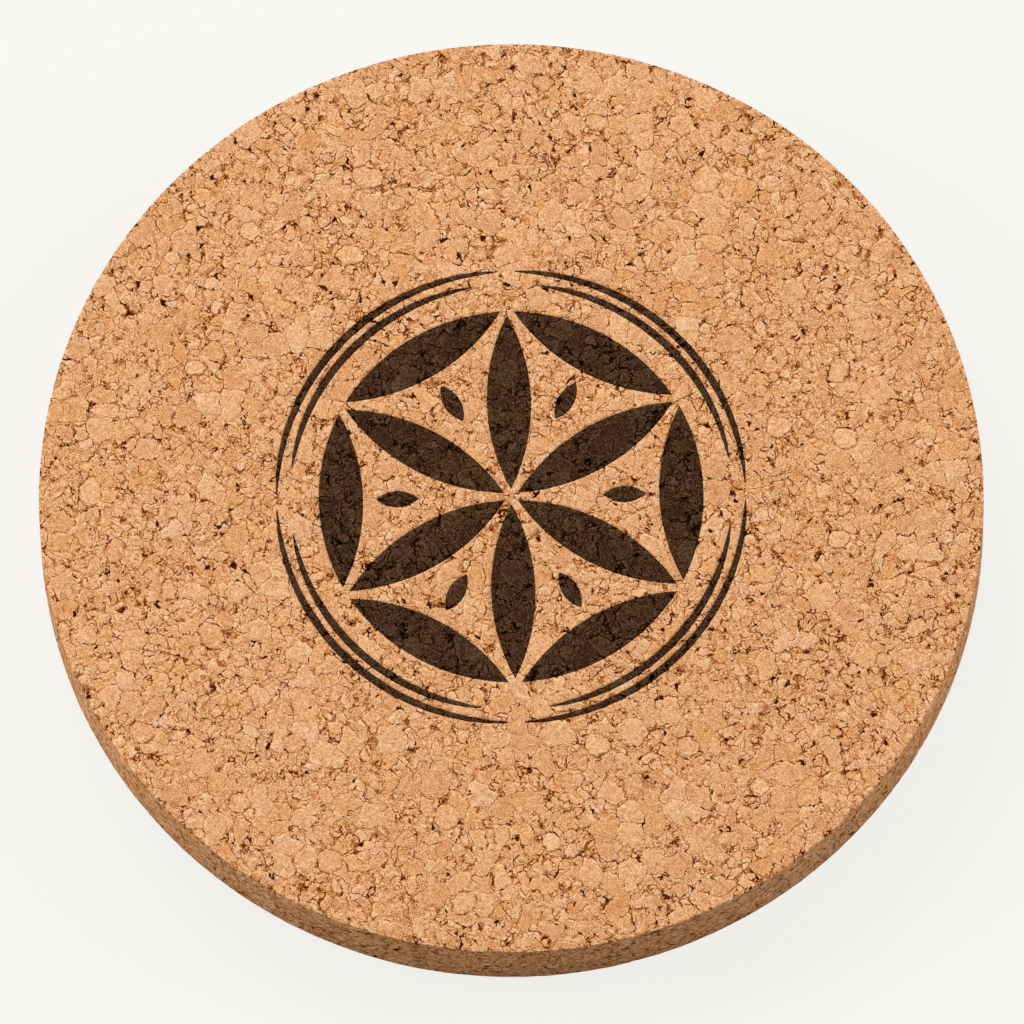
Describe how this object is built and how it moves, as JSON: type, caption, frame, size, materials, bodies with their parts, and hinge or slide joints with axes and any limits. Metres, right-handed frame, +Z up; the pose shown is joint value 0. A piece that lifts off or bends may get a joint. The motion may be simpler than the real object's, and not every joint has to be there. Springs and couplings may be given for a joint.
{
  "type": "cork coaster",
  "caption": "Round thick coaster of pressed cork granulate with coarse chips in its face and a dark printed compass rosette inside a broken double ring; a drink stands on it.",
  "frame": {"origin": "centre of the round underside, in the plane that lies on the table", "axes": "+Z up through the disc's thickness to the printed face; +Y points away from the viewer of the printed face, +X to the viewer's right"},
  "size_m": [0.1, 0.1, 0.0101],
  "materials": {
    "cork": "matte, sawn granulate",
    "cork_chip": "matte, sawn chip",
    "ink": "matte ink film"
  },
  "bodies": {
    "root": {"cork_disc": "cork", "cork_chip_01": "cork_chip", "cork_chip_02": "cork_chip", "cork_chip_03": "cork_chip", "cork_chip_04": "cork_chip", "cork_chip_05": "cork_chip", "cork_chip_06": "cork_chip", "cork_chip_07": "cork_chip", "cork_chip_08": "cork_chip", "cork_chip_09": "cork_chip", "cork_chip_10": "cork_chip", "cork_chip_11": "cork_chip", "cork_chip_12": "cork_chip", "cork_chip_13": "cork_chip", "cork_chip_14": "cork_chip", "cork_chip_15": "cork_chip", "cork_chip_16": "cork_chip", "cork_chip_17": "cork_chip", "cork_chip_18": "cork_chip", "cork_chip_19": "cork_chip", "cork_chip_20": "cork_chip", "cork_chip_21": "cork_chip", "cork_chip_22": "cork_chip", "cork_chip_23": "cork_chip", "cork_chip_24": "cork_chip", "cork_chip_25": "cork_chip", "cork_chip_26": "cork_chip", "cork_chip_27": "cork_chip", "cork_chip_28": "cork_chip", "cork_chip_29": "cork_chip", "cork_chip_30": "cork_chip", "print_petal_1": "ink", "print_petal_2": "ink", "print_petal_3": "ink", "print_petal_4": "ink", "print_petal_5": "ink", "print_petal_6": "ink", "print_rim_petal_1": "ink", "print_rim_petal_2": "ink", "print_rim_petal_3": "ink", "print_rim_petal_4": "ink", "print_rim_petal_5": "ink", "print_rim_petal_6": "ink", "print_seed_1": "ink", "print_seed_2": "ink", "print_seed_3": "ink", "print_seed_4": "ink", "print_seed_5": "ink", "print_seed_6": "ink", "print_ring_inner_1": "ink", "print_ring_inner_2": "ink", "print_ring_inner_3": "ink", "print_ring_inner_4": "ink", "print_ring_outer_1": "ink", "print_ring_outer_2": "ink", "print_ring_outer_3": "ink", "print_ring_outer_4": "ink"}
  },
  "joints": []
}
